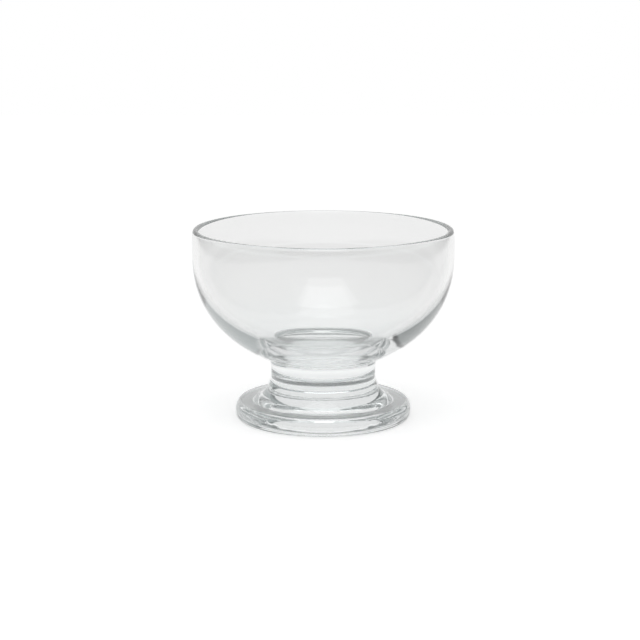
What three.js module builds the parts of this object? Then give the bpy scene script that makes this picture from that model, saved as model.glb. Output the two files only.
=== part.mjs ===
// A footed dessert glass of clear soda-lime glass: a round bowl on a short thick
// stem and a heavy disc foot. The three gathers of glass were joined while hot, so
// they are modelled as three solids that meet face to face at the two weld planes.
// Millimetres, +Z up. The origin is on the table, under the middle of the foot.

import * as THREE from 'three';

// Foot
const footRadius = 33.9; // widest, at the middle of the rounded edge
const footEdgeHeight = 6.7; // from the table to the top corner of the edge
const footEdgeMiddle = 3.1; // height of the widest line of the edge
const footTopRound = 2.1; // how far in from the widest line the top corner is
const footBottomRound = 1.8; // how far in the edge has curled at the table
const footTopRise = 0.3; // the top climbs this much from its corner to the flare
const standingRingWidth = 3.2; // flat ring that touches the table
const underRise = 1.0; // hollow under the foot, at the middle

// Flare and stem
const flareReach = 8.0; // the hollow sweep from the foot's top into the stem, across
const flareHeight = 9.5; // and upwards, to the waist
const flareSquareness = 1.78; // exponent of the sweep: 2 is a quarter ellipse
const waistRadius = 20.1; // the thinnest place
const lowerWeldDrop = 2.5; // the foot's weld is this far below the waist
const upperWeldRise = 6.9; // the bowl's weld is this far above the waist
const upperWeldRadius = 21.2; // the stem flares out to this under the bowl
const upperFillet = 0.6; // reach of the small fillet under the bowl

// Bowl
const bowlRadius = 49.9; // outside, at the widest
const bowlHeight = 49.9; // from the upper weld to the top of the lip
const bellyDrop = 8.3; // the widest line is this far below the lip
const bellySquareness = 2.34; // exponents of the outer curve: 2 and 2 is an ellipse
const bellyFullness = 1.91;
const wallThickness = 2.3; // from the widest line to the lip, which is a full round of it
const floorThickness = 0.8; // from the upper weld to the inside of the bowl
const insideSquareness = 2.44; // exponents of the inner curve below its widest line
const insideFullness = 1.84;

// Fineness of the facets
const turnSteps = 72;
const bowlSteps = 18;
const wallSteps = 3;
const lipSteps = 6;
const flareSteps = 7;
const stemFlareSteps = 3;
const edgeSteps = 5;
const filletSteps = 6;
const underSteps = 4;

// Places that follow from the sizes above
const flareCentreRadius = waistRadius + flareReach;
const waistHeight = footEdgeHeight + footTopRise + flareHeight;
const lowerWeldHeight = waistHeight - lowerWeldDrop;
const upperWeldHeight = waistHeight + upperWeldRise;
const lipRadius = wallThickness / 2;
const lipHeight = bowlHeight - lipRadius; // of the middle of the round lip, in the bowl
const bellyHeight = bowlHeight - bellyDrop;
const insideRadius = bowlRadius - wallThickness;

const point = (radius, height) => new THREE.Vector2(radius, height);

// Part of an upright ellipse round (radius, height); the angles are in quarter turns.
// A squareness above 2 draws its corners out, and one below 2 draws them in.
function ellipseStretch(
  radius, height, halfWidth, halfHeight, fromQuarter, toQuarter, steps, squareness = 2) {
  const swell = (value) => Math.sign(value) * Math.abs(value) ** (2 / squareness);
  const points = [];
  for (let i = 0; i <= steps; i += 1) {
    const angle = (Math.PI / 2) * THREE.MathUtils.lerp(fromQuarter, toQuarter, i / steps);
    points.push(point(
      radius + halfWidth * swell(Math.cos(angle)),
      height + halfHeight * swell(Math.sin(angle))));
  }
  return points;
}

// Radius of a turned curve that is widest at wideHeight and closes depth below it.
function fullCurve(widest, wideHeight, depth, squareness, fullness, height) {
  const share = Math.min(1, Math.abs(wideHeight - height) / depth);
  return widest * (1 - share ** squareness) ** (1 / fullness);
}

// The depth at which such a curve closes, when it has to pass (radius, height).
function closingDepth(widest, wideHeight, squareness, fullness, radius, height) {
  return (wideHeight - height) / (1 - (radius / widest) ** fullness) ** (1 / squareness);
}

const outerDepth = closingDepth(
  bowlRadius, bellyHeight, bellySquareness, bellyFullness, upperWeldRadius, 0);
const outerRadiusAt = (height) =>
  fullCurve(bowlRadius, bellyHeight, outerDepth, bellySquareness, bellyFullness, height);

function bowlProfile() {
  const points = [point(0, 0)];
  for (let i = 0; i <= bowlSteps; i += 1) {
    const height = lipHeight * (i / bowlSteps) ** 1.5;
    points.push(point(outerRadiusAt(height), height));
  }
  const lipMiddle = outerRadiusAt(lipHeight) - lipRadius;
  points.push(...ellipseStretch(lipMiddle, lipHeight, lipRadius, lipRadius, 0, 2, lipSteps).slice(1));
  // from the lip down to the widest line the wall keeps its thickness
  for (let i = 1; i < wallSteps; i += 1) {
    const height = THREE.MathUtils.lerp(lipHeight, bellyHeight, i / wallSteps);
    points.push(point(outerRadiusAt(height) - wallThickness, height));
  }
  // below it the inside closes sooner than the outside, in even turns from upright to level
  const insideDepth = bellyHeight - floorThickness;
  for (let i = 0; i < bowlSteps; i += 1) {
    const height = bellyHeight - insideDepth * Math.sin((Math.PI / 2) * (i / bowlSteps));
    points.push(point(
      fullCurve(insideRadius, bellyHeight, insideDepth, insideSquareness, insideFullness, height),
      height));
  }
  points.push(point(0, floorThickness));
  return points;
}

// The sweep from foot to stem runs on through their weld, so both take their share of it.
const weldQuarter =
  2 + Math.asin((lowerWeldDrop / flareHeight) ** (flareSquareness / 2)) / (Math.PI / 2);
const flareStretch = (height, fromQuarter, toQuarter, steps) => ellipseStretch(
  flareCentreRadius, height, flareReach, flareHeight, fromQuarter, toQuarter, steps, flareSquareness);

// The stem, with its heights counted from the waist.
function stemProfile() {
  const weld = point(upperWeldRadius, upperWeldRise);
  // the fillet arrives along the underside of the bowl, so that the two run on smoothly
  const alongBowl = point(outerRadiusAt(1) - upperWeldRadius, 1).normalize();
  const side = new THREE.CubicBezierCurve(
    point(waistRadius, 0),
    point(waistRadius, upperWeldRise - upperFillet),
    weld.clone().addScaledVector(alongBowl, -upperFillet),
    weld);
  return [
    point(0, -lowerWeldDrop),
    ...flareStretch(0, weldQuarter, 2, stemFlareSteps),
    ...side.getPoints(filletSteps).slice(1),
    point(0, upperWeldRise),
  ];
}

// The foot, with the hollow underside, the rounded edge and the flare up to its weld.
function footProfile() {
  const tableRadius = footRadius - footBottomRound;
  const hollowRadius = tableRadius - standingRingWidth;
  const cornerRadius = footRadius - footTopRound;
  const topRound = footEdgeHeight - footEdgeMiddle;
  const hollow = [];
  for (let i = 0; i <= underSteps; i += 1) {
    const share = i / underSteps;
    hollow.push(point(hollowRadius * share, underRise * (1 - share ** 2)));
  }
  return [
    ...hollow,
    ...ellipseStretch(tableRadius, footEdgeMiddle, footBottomRound, footEdgeMiddle, -1, 0, edgeSteps),
    ...ellipseStretch(cornerRadius, footEdgeMiddle, footTopRound, topRound, 0, 1, edgeSteps).slice(1),
    ...flareStretch(waistHeight, 3, weldQuarter, flareSteps),
    point(0, lowerWeldHeight),
  ];
}

function turned(name, profile, height, colour) {
  const geometry = new THREE.LatheGeometry(profile, turnSteps);
  geometry.rotateX(Math.PI / 2);
  const material = new THREE.MeshStandardMaterial({
    color: colour, roughness: 0.02, metalness: 0, transparent: true, opacity: 0.35,
  });
  const mesh = new THREE.Mesh(geometry, material);
  mesh.name = name;
  mesh.position.z = height;
  return mesh;
}

const dessertGlass = new THREE.Group();
dessertGlass.add(
  turned('foot', footProfile(), 0, '#dfe8e8'),
  turned('stem', stemProfile(), waistHeight, '#d9e4e5'),
  turned('bowl', bowlProfile(), upperWeldHeight, '#edf1f1'));

export default dessertGlass;
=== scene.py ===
import bmesh
import bpy
import math
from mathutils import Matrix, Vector


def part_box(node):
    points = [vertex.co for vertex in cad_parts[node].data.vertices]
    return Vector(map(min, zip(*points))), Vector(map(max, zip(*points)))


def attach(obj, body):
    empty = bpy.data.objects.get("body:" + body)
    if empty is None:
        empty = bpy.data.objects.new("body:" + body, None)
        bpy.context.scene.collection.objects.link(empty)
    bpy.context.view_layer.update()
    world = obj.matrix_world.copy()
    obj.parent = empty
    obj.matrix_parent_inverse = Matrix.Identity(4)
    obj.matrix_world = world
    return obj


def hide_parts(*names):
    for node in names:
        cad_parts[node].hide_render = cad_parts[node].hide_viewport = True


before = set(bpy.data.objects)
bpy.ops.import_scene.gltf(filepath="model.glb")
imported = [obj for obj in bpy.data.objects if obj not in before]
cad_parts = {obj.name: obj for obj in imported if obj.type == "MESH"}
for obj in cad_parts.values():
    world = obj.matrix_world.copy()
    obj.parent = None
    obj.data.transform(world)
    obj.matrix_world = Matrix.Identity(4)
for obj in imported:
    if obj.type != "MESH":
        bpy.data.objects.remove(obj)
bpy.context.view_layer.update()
print("frame loaded")

# The camera of the photograph: a long lens 65 cm away, looking slightly down
photoView = {
    "aim": Vector((-0.00123, 0.0, 0.0376)),
    "distance": 0.650,
    "above": math.radians(11.6),
    "lens": 95.2,
    "sensor": 36.0,
}

back = Vector((0.0, -math.cos(photoView["above"]), math.sin(photoView["above"])))
cameraData = bpy.data.cameras.new("photo_camera")
cameraData.lens = photoView["lens"]
cameraData.sensor_width = photoView["sensor"]
cameraData.clip_start = 0.01
cameraData.clip_end = 50.0
camera = bpy.data.objects.new("photo_camera", cameraData)
camera.location = photoView["aim"] + back * photoView["distance"]
camera.rotation_euler = (math.radians(90.0) - photoView["above"], 0.0, 0.0)
bpy.context.collection.objects.link(camera)
bpy.context.scene.camera = camera
print("camera placed")


class ShaderValue:  # one output of a node, so that shader maths reads as plain maths
    def __init__(self, tree, socket):
        self.tree = tree
        self.socket = socket

    def out(self, name):
        return ShaderValue(self.tree, self.socket.node.outputs[name])

    def __add__(self, other):
        return self.tree.maths("ADD", self, other)

    def __radd__(self, other):
        return self.tree.maths("ADD", other, self)

    def __sub__(self, other):
        return self.tree.maths("SUBTRACT", self, other)

    def __rsub__(self, other):
        return self.tree.maths("SUBTRACT", other, self)

    def __mul__(self, other):
        return self.tree.maths("MULTIPLY", self, other)

    def __rmul__(self, other):
        return self.tree.maths("MULTIPLY", other, self)

    def __truediv__(self, other):
        return self.tree.maths("DIVIDE", self, other)


class ShaderTree:  # the nodes of one material or of the world
    def __init__(self, owner):
        owner.use_nodes = True
        self.nodes = owner.node_tree.nodes
        self.links = owner.node_tree.links
        self.nodes.clear()

    def node(self, kind, settings=None, values=None):
        made = self.nodes.new(kind)
        for name, setting in (settings or {}).items():
            setattr(made, name, setting)
        for name, value in (values or {}).items():
            if isinstance(value, ShaderValue):
                self.links.new(value.socket, made.inputs[name])
            else:
                made.inputs[name].default_value = value
        return ShaderValue(self, made.outputs[0]) if made.outputs else made

    def maths(self, operation, first, second=0.0):
        return self.node("ShaderNodeMath", {"operation": operation}, {0: first, 1: second})

    def ease(self, value, edge):  # 0 where the edge starts, 1 where it ends, smooth between
        return self.node("ShaderNodeMapRange", {"interpolation_type": "SMOOTHSTEP"},
                         {"Value": value, "From Min": edge[0], "From Max": edge[1]})

    def blend(self, share, first, second):  # of two colours
        return self.node("ShaderNodeMix", {"data_type": "RGBA"},
                         {0: share, 6: first, 7: second}).out(2)


def between(share, first, second):  # the same for two numbers
    return first + share * (second - first)


# Places that the three pieces share, all from the frame
tableHeight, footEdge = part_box("foot")[0].z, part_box("foot")[1].x
lowerWeld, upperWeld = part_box("stem")[0].z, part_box("stem")[1].z
lipTop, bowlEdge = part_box("bowl")[1].z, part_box("bowl")[1].x

turning = {
    "steps": 256,
    "samePlace": 1e-6,
    "sharpFrom": math.radians(40.0),
}


def ellipseStretch(radius, height, halfWidth, halfHeight, fromDegrees, toDegrees, steps, squareness=2.0):
    stretch = []
    for step in range(steps + 1):
        angle = math.radians(between(step / steps, fromDegrees, toDegrees))
        across, up = [math.copysign(abs(value) ** (2.0 / squareness), value)
                      for value in (math.cos(angle), math.sin(angle))]
        stretch.append((radius + halfWidth * across, height + halfHeight * up))
    return stretch


def fullCurve(widest, wideHeight, depth, squareness, fullness, height):
    share = min(1.0, abs(wideHeight - height) / depth)
    return widest * (1.0 - share ** squareness) ** (1.0 / fullness)


def turnedPiece(name, outline, welds, materials):
    # spins an outline that starts and ends on the axis; the flat faces at the welds get the second material
    bm = bmesh.new()
    corners = [bm.verts.new((radius, 0.0, height)) for radius, height in outline]
    for first, second in zip(corners, corners[1:]):
        bm.edges.new((first, second))
    bmesh.ops.spin(bm, geom=bm.verts[:] + bm.edges[:], cent=(0, 0, 0), axis=(0, 0, 1), dvec=(0, 0, 0),
                   angle=2 * math.pi, steps=turning["steps"], use_merge=True, use_duplicate=False)
    bmesh.ops.remove_doubles(bm, verts=bm.verts, dist=turning["samePlace"])
    bmesh.ops.recalc_face_normals(bm, faces=bm.faces)
    for face in bm.faces:
        face.smooth = True
        onWeld = any(all(abs(v.co.z - weld) < turning["samePlace"] for v in face.verts) for weld in welds)
        face.material_index = 1 if onWeld else 0
    for edge in bm.edges:
        edge.smooth = edge.calc_face_angle(0.0) < turning["sharpFrom"]
    mesh = bpy.data.meshes.new(name)
    bm.to_mesh(mesh)
    bm.free()
    for material in materials:
        mesh.materials.append(material)
    piece = bpy.data.objects.new(name, mesh)
    bpy.context.collection.objects.link(piece)
    return piece


# Clear glass. The mould and the fire polish left ripples, a few thousandths of a millimetre high on the bowl
glassFinish = {
    "index": 1.52,
    "roughness": 0.002,
    "handling": 0.004,
    "handlingScale": 60.0,
    "thinColour": (0.936, 0.938, 0.936, 1.0),
    "thickColour": (0.935, 0.952, 0.952, 1.0),
    "thinEdge": (0.026, 0.045),
    "colourDrift": 0.4,
    "ringScale": (14.0, 14.0, 420.0),
    "ringShare": 0.5,
    "waveScale": 45.0,
    "waveShare": 3.0,
    "bowlRipple": 0.0000016,
    "stemRipple": 0.0000002,
    "footRipple": 0.0000003,
}

# The underside of the foot shrank more in the mould, in rings and dimples
underFinish = {
    "edge": (0.0013, 0.0009),
    "ringScale": 620.0,
    "ringShare": 0.6,
    "dimpleScale": 330.0,
    "dimpleShare": 0.4,
    "ripple": 0.000030,
}


def underRipples(tree, place, above):
    s = underFinish
    middle = tree.node("ShaderNodeVectorMath", {"operation": "LENGTH"}, {"Vector": place}).out("Value")
    rings = tree.node("ShaderNodeTexNoise", {"noise_dimensions": "1D"},
                      {"W": middle, "Scale": s["ringScale"], "Detail": 2.0})
    dimples = tree.node("ShaderNodeTexNoise", {},
                        {"Vector": place, "Scale": s["dimpleScale"], "Detail": 2.0})
    both = rings * s["ringShare"] + dimples * s["dimpleShare"]
    return both * tree.ease(above, s["edge"]) * s["ripple"]


def clearGlass(name, ripple, hasUnderside=False):
    s = glassFinish
    material = bpy.data.materials.new(name)
    tree = ShaderTree(material)
    place = tree.node("ShaderNodeTexCoord").out("Object")
    above = tree.node("ShaderNodeSeparateXYZ", {}, {"Vector": place}).out("Z")
    flattened = tree.node("ShaderNodeMapping", {"vector_type": "POINT"},
                          {"Vector": place, "Scale": s["ringScale"]})
    rings = tree.node("ShaderNodeTexNoise", {}, {"Vector": flattened, "Scale": 1.0, "Detail": 2.0})
    waves = tree.node("ShaderNodeTexNoise", {}, {"Vector": place, "Scale": s["waveScale"], "Detail": 1.0})
    height = (rings * s["ringShare"] + waves * s["waveShare"]) * ripple
    if hasUnderside:
        height = height + underRipples(tree, place, above)
    bump = tree.node("ShaderNodeBump", {}, {"Height": height, "Distance": 1.0, "Strength": 1.0})
    handling = tree.node("ShaderNodeTexNoise", {},
                         {"Vector": place, "Scale": s["handlingScale"], "Detail": 3.0})
    thin = tree.ease(above, s["thinEdge"]) + (waves - 0.5) * s["colourDrift"]
    glass = tree.node("ShaderNodeBsdfPrincipled", {"distribution": "MULTI_GGX"}, {
        "Base Color": tree.blend(thin, s["thickColour"], s["thinColour"]),
        "Roughness": s["roughness"] + handling * s["handling"],
        "IOR": s["index"],
        "Transmission Weight": 1.0,
        "Normal": bump,
    })
    tree.node("ShaderNodeOutputMaterial", {}, {"Surface": glass})
    return material


def seeThrough(name):  # for the faces inside the welds, where hot glass has run together
    material = bpy.data.materials.new(name)
    tree = ShaderTree(material)
    clear = tree.node("ShaderNodeBsdfTransparent", {}, {"Color": (1.0, 1.0, 1.0, 1.0)})
    tree.node("ShaderNodeOutputMaterial", {}, {"Surface": clear})
    return material


bowlGlass = clearGlass("bowl_glass", glassFinish["bowlRipple"])
stemGlass = clearGlass("stem_glass", glassFinish["stemRipple"])
footGlass = clearGlass("foot_glass", glassFinish["footRipple"], hasUnderside=True)
weldGlass = seeThrough("weld_inside")
print("glass ready")

bowlSizes = {
    "bellyDrop": 0.0083,
    "squareness": 2.34,
    "fullness": 1.91,
    "weldRadius": 0.0212,
    "wall": 0.0023,
    "floor": 0.0008,
    "insideSquareness": 2.44,
    "insideFullness": 1.84,
    "outerSteps": 80,
    "outerCrowding": 1.5,
    "lipSteps": 16,
    "wallSteps": 16,
    "innerSteps": 80,
}


def bowlOuterRadius(height):
    s = bowlSizes
    belly = lipTop - s["bellyDrop"]
    closing = (1.0 - (s["weldRadius"] / bowlEdge) ** s["fullness"]) ** (1.0 / s["squareness"])
    return fullCurve(bowlEdge, belly, (belly - upperWeld) / closing, s["squareness"], s["fullness"], height)


def makeBowl():
    s = bowlSizes
    belly = lipTop - s["bellyDrop"]
    lipRound = s["wall"] / 2
    lipHeight = lipTop - lipRound
    outline = [(0.0, upperWeld)]
    for step in range(s["outerSteps"] + 1):  # with more points near the weld, where it turns fastest
        height = between((step / s["outerSteps"]) ** s["outerCrowding"], upperWeld, lipHeight)
        outline.append((bowlOuterRadius(height), height))
    outline += ellipseStretch(bowlOuterRadius(lipHeight) - lipRound, lipHeight, lipRound, lipRound,
                              0, 180, s["lipSteps"])[1:]
    for step in range(1, s["wallSteps"]):  # an even wall down to the widest line
        height = between(step / s["wallSteps"], lipHeight, belly)
        outline.append((bowlOuterRadius(height) - s["wall"], height))
    insideDepth = belly - upperWeld - s["floor"]
    for step in range(s["innerSteps"]):  # below it the wall thickens towards the stem
        height = belly - insideDepth * math.sin(math.radians(90.0) * step / s["innerSteps"])
        outline.append((fullCurve(bowlEdge - s["wall"], belly, insideDepth,
                                  s["insideSquareness"], s["insideFullness"], height), height))
    outline.append((0.0, belly - insideDepth))
    return turnedPiece("glass_bowl", outline, [upperWeld], [bowlGlass, weldGlass])


bowl = makeBowl()
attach(bowl, "root")
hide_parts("bowl")
print("bowl turned")

stemSizes = {
    "waistRadius": 0.0201,
    "waistHeight": 0.0165,
    "flareReach": 0.0080,
    "flareHeight": 0.0095,
    "flareSquareness": 1.78,
    "fillet": 0.0006,
    "flareSteps": 16,
    "filletSteps": 24,
}


def flareStretch(fromDegrees, toDegrees, steps):  # the sweep from the foot's top into the stem
    s = stemSizes
    return ellipseStretch(s["waistRadius"] + s["flareReach"], s["waistHeight"], s["flareReach"],
                          s["flareHeight"], fromDegrees, toDegrees, steps, s["flareSquareness"])


def flareWeldDegrees():  # where on the sweep the lower weld is
    s = stemSizes
    share = (s["waistHeight"] - lowerWeld) / s["flareHeight"]
    return 180.0 + math.degrees(math.asin(share ** (s["flareSquareness"] / 2)))


def makeStem():
    s = stemSizes
    waist = Vector((s["waistRadius"], s["waistHeight"]))
    weld = Vector((bowlSizes["weldRadius"], upperWeld))
    littleUp = 0.001
    alongBowl = Vector((bowlOuterRadius(upperWeld + littleUp) - weld.x, littleUp)).normalized()
    aboveWaist = Vector((s["waistRadius"], upperWeld - s["fillet"]))
    belowWeld = weld - alongBowl * s["fillet"]
    outline = [(0.0, lowerWeld)] + flareStretch(flareWeldDegrees(), 180.0, s["flareSteps"])
    for step in range(1, s["filletSteps"] + 1):  # a smooth side that arrives along the bowl's underside
        t = step / s["filletSteps"]
        side = (waist * (1 - t) ** 3 + aboveWaist * 3 * t * (1 - t) ** 2
                + belowWeld * 3 * t ** 2 * (1 - t) + weld * t ** 3)
        outline.append((side.x, side.y))
    outline.append((0.0, upperWeld))
    return turnedPiece("glass_stem", outline, [lowerWeld, upperWeld], [stemGlass, weldGlass])


stem = makeStem()
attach(stem, "root")
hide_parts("stem")
print("stem turned")

footSizes = {
    "edgeHeight": 0.0067,
    "edgeMiddle": 0.0031,
    "topRound": 0.0021,
    "bottomRound": 0.0018,
    "standingRing": 0.0032,
    "underRise": 0.0010,
    "underSteps": 40,
    "edgeSteps": 24,
    "flareSteps": 48,
}


def makeFoot():
    s = footSizes
    ringOutside = footEdge - s["bottomRound"]
    ringInside = ringOutside - s["standingRing"]
    topRise = s["edgeHeight"] - s["edgeMiddle"]
    outline = []
    for step in range(s["underSteps"] + 1):  # the shallow hollow underneath
        share = step / s["underSteps"]
        outline.append((ringInside * share, tableHeight + s["underRise"] * (1.0 - share ** 2)))
    outline += ellipseStretch(ringOutside, s["edgeMiddle"], s["bottomRound"], s["edgeMiddle"],
                              -90, 0, s["edgeSteps"])
    outline += ellipseStretch(footEdge - s["topRound"], s["edgeMiddle"], s["topRound"], topRise,
                              0, 90, s["edgeSteps"])[1:]
    outline += flareStretch(270.0, flareWeldDegrees(), s["flareSteps"])
    outline.append((0.0, lowerWeld))
    return turnedPiece("glass_foot", outline, [lowerWeld], [footGlass, weldGlass])


foot = makeFoot()
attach(foot, "root")
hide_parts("foot")
print("foot turned")


def raysSeen(tree):  # 1 for what the camera sees directly, and 1 for what it sees in or through glass
    path = tree.node("ShaderNodeLightPath")
    cameraRay = path.out("Is Camera Ray")
    glassRay = tree.maths("MAXIMUM", path.out("Is Glossy Ray"), path.out("Is Transmission Ray"))
    return cameraRay, glassRay


# The white table. Each edge says how many metres from the middle of the glass a change starts and ends
tableLook = {
    "size": 2.80,
    "clearance": 0.00005,
    "colour": (0.90, 0.90, 0.90, 1.0),
    "whiteGlow": (0.60, 0.68),
    "whiteEdge": (0.30, 1.20),
    "glassGlow": 0.515,
    # painted light in the table's glow seen in glass: a painted pool of light under the stem and a painted
    # shadow ring round the foot
    "paintedPoolEdge": (0.0195, 0.0165),
    "paintedShadowEdge": (0.031, 0.039),
    "paintedShadowCentre": (0.0, -0.006, 0.0),
    # painted shade: the table's glow seen in glass fades towards two ends
    "paintedEndShadeEdge": (0.54, 0.38),
}


def whiteTable():
    s = tableLook
    material = bpy.data.materials.new("white_table")
    tree = ShaderTree(material)
    place = tree.node("ShaderNodeTexCoord").out("Object")
    away = tree.node("ShaderNodeVectorMath", {"operation": "LENGTH"}, {"Vector": place}).out("Value")
    white = between(tree.ease(away, s["whiteEdge"]), *s["whiteGlow"])  # more where the lamp reaches less
    # in glass the table's glow is painted light and shade: a painted pool of light under the stem, a painted
    # shadow ring from the foot round that, and painted shade towards two ends
    fromPaintedShadowCentre = tree.node("ShaderNodeVectorMath", {"operation": "DISTANCE"},
                          {0: place, 1: s["paintedShadowCentre"]}).out("Value")
    sideways = tree.node("ShaderNodeSeparateXYZ", {}, {"Vector": place}).out("X")
    inside = tree.ease(tree.maths("ABSOLUTE", sideways), s["paintedEndShadeEdge"])  # and it fades towards two ends
    paintedLightAndShade = tree.ease(away, s["paintedPoolEdge"]) + tree.ease(fromPaintedShadowCentre, s["paintedShadowEdge"]) * inside
    cameraRay, glassRay = raysSeen(tree)
    glow = tree.node("ShaderNodeEmission", {},
                     {"Strength": cameraRay * white + glassRay * paintedLightAndShade * s["glassGlow"]})
    paper = tree.node("ShaderNodeBsdfDiffuse", {}, {"Color": s["colour"]})
    both = tree.node("ShaderNodeAddShader", {}, {0: paper, 1: glow})
    tree.node("ShaderNodeOutputMaterial", {}, {"Surface": both})
    return material


def makeTable():
    bm = bmesh.new()
    bmesh.ops.create_grid(bm, x_segments=1, y_segments=1, size=tableLook["size"] / 2)
    bmesh.ops.translate(bm, verts=bm.verts, vec=(0.0, 0.0, tableHeight - tableLook["clearance"]))
    mesh = bpy.data.meshes.new("table")
    bm.to_mesh(mesh)
    bm.free()
    mesh.materials.append(whiteTable())
    table = bpy.data.objects.new("table", mesh)
    bpy.context.collection.objects.link(table)


# The pale room, as light levels. Each edge says at which cosine of a direction a change starts and ends
roomLook = {
    "plain": 0.37,
    "wall": {"back": 0.84, "left": 0.26, "right": 0.42, "front": 0.40},
    "ceiling": {"back": 0.95, "left": 0.32, "right": 0.34, "front": 0.60},
    "below": {"back": 0.90, "left": 0.80, "right": 0.80, "front": 0.90},
    "gap": {"left": 0.03, "right": 0.22},
    "frontLow": 0.05,
    "sideTint": (0.93, 1.0, 1.0, 1.0),
    "backTurned": math.radians(-6.5),
    "backEdge": (0.745, 0.775),
    "gapEdge": (0.695, 0.720),
    "frontEdge": (-0.6, -0.8),
    "sideEdge": (-0.5, 0.5),
    "gapSideEdge": (-0.1, 0.1),
    "ceilingEdge": (0.68, 0.74),
    "frontLowEdge": (0.33, 0.24),
    "belowEdge": (-0.005, -0.015),
}


def makeRoom():
    s = roomLook
    world = bpy.data.worlds.new("pale_room")
    bpy.context.scene.world = world
    tree = ShaderTree(world)
    direction = tree.node("ShaderNodeSeparateXYZ", {}, {
        "Vector": tree.node("ShaderNodeTexCoord").out("Generated")})
    sideways, away, up = direction.out("X"), direction.out("Y"), direction.out("Z")
    level = tree.maths("SQRT", sideways * sideways + away * away)
    toRight = sideways / level
    toBack = away / level
    turned = s["backTurned"]
    facing = toBack * math.cos(turned) + toRight * math.sin(turned)  # 1 at the middle of the lit backdrop
    backPart = tree.ease(facing, s["backEdge"])
    gapPart = tree.ease(facing, s["gapEdge"]) * (1 - backPart)  # the unlit gap at both sides of it
    frontPart = tree.ease(toBack, s["frontEdge"])

    def around(levels):  # one level to each side of the room, running softly into each other
        side = between(tree.ease(toRight, s["sideEdge"]), levels["left"], levels["right"])
        return between(frontPart, between(backPart, side, levels["back"]), levels["front"])

    gap = between(tree.ease(toRight, s["gapSideEdge"]), s["gap"]["left"], s["gap"]["right"])
    wall = between(gapPart, around(s["wall"]), gap)
    wall = between(frontPart * tree.ease(up, s["frontLowEdge"]), wall, s["frontLow"])
    room = between(tree.ease(up, s["ceilingEdge"]), wall, around(s["ceiling"]))
    room = between(tree.ease(up, s["belowEdge"]), room, around(s["below"]))
    cameraRay, glassRay = raysSeen(tree)
    light = between(cameraRay, between(glassRay, s["plain"], room), 1)
    tint = tree.blend(glassRay * (1 - backPart), (1.0, 1.0, 1.0, 1.0), s["sideTint"])
    air = tree.node("ShaderNodeBackground", {}, {"Color": tint, "Strength": light})
    tree.node("ShaderNodeOutputWorld", {}, {"Surface": air})


lampLook = {
    "size": (0.60, 0.95),
    "place": (-0.045, -0.30, 0.95),
    "power": 1.95,
}


def makeLamp():
    lampData = bpy.data.lights.new("overhead_softbox", "AREA")
    lampData.shape = "RECTANGLE"
    lampData.size, lampData.size_y = lampLook["size"]
    lampData.energy = lampLook["power"]
    lamp = bpy.data.objects.new("overhead_softbox", lampData)
    lamp.location = lampLook["place"]
    bpy.context.collection.objects.link(lamp)


makeTable()
makeRoom()
makeLamp()
print("studio set")

bounces = 128  # light runs a long way round inside thick glass
scene = bpy.context.scene
scene.view_settings.view_transform = "Standard"
scene.cycles.max_bounces = bounces
scene.cycles.transmission_bounces = bounces
scene.cycles.glossy_bounces = bounces
scene.cycles.transparent_max_bounces = bounces
scene.cycles.use_denoising = True
